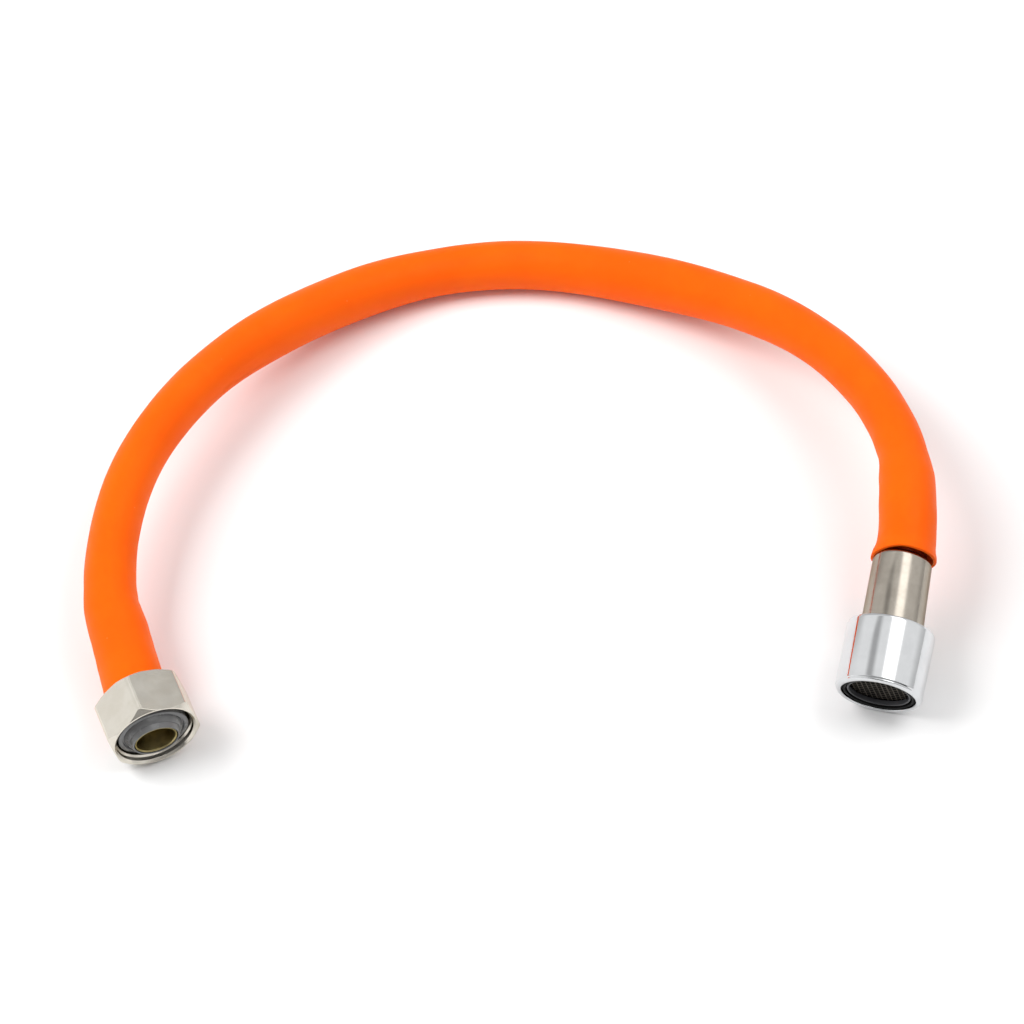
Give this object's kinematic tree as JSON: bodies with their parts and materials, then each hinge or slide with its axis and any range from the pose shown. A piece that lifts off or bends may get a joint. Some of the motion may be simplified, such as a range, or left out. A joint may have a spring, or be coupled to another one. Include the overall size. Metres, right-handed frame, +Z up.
{
  "type": "faucet extension hose",
  "caption": "Bendable faucet extension hose in an orange silicone sleeve, with a hex union nut on the tap end and a chrome aerator on the outlet end.",
  "frame": {"origin": "the table under the middle of the horseshoe, centred between the part's left, right, front and back ends", "axes": "+X to the outlet's side, +Y towards the back of the arc, +Z up"},
  "size_m": [0.2418, 0.1914, 0.0343],
  "materials": {
    "orange_silicone": "matte silicone, faintly dusty",
    "nickel_plated_brass": "nickel plated brass, satin bright",
    "chrome_plated_brass": "polished chrome plate",
    "satin_steel": "satin turned steel",
    "gooseneck_wire": "bright drawn steel wire",
    "sieve_steel": "woven stainless sieve",
    "brass": "turned brass, dull inside",
    "grey_rubber": "smooth grey rubber",
    "black_rubber": "matte black rubber",
    "black_plastic": "fine matte moulded plastic",
    "dark_grey_plastic": "satin moulded plastic",
    "cream_tube": "smooth extruded tube"
  },
  "bodies": {
    "hose": {"silicone_sleeve": "orange_silicone", "gooseneck_round_wire": "gooseneck_wire", "gooseneck_wedge_wire": "gooseneck_wire", "inner_hose": "cream_tube", "inlet_ferrule": "satin_steel", "inlet_nipple": "brass", "inlet_gasket": "grey_rubber", "outlet_ferrule": "satin_steel", "outlet_nipple": "brass"},
    "nut": {"union_nut": "nickel_plated_brass"},
    "cartridge": {"cartridge_body": "black_plastic", "insert_ring": "dark_grey_plastic", "outlet_grid": "black_plastic", "lower_screen": "sieve_steel", "upper_screen": "sieve_steel", "jet_disc": "black_plastic", "aerator_washer": "black_rubber", "filter_dome": "sieve_steel"},
    "housing": {"aerator_housing": "chrome_plated_brass"}
  },
  "joints": [
    {"name": "nut_spin", "type": "hinge", "parent": "hose", "child": "nut", "pos_m": [-0.0978, -0.0903, 0.0134], "axis": [0.3827, -0.9238, -0.0087], "continuous": true},
    {"name": "aerator_advance", "type": "slide", "parent": "hose", "child": "cartridge", "axis": [-0.2288, -0.9384, -0.2588], "range_m": [0, 0.00601]},
    {"name": "aerator_turn", "type": "hinge", "parent": "cartridge", "child": "housing", "pos_m": [0.1013, -0.0765, 0.01166], "axis": [-0.2288, -0.9384, -0.2588], "range_deg": [0, 2160]}
  ],
  "couplings": [
    {"joint": "aerator_advance", "follows": "aerator_turn", "m_per_rad": 0.00015915}
  ]
}
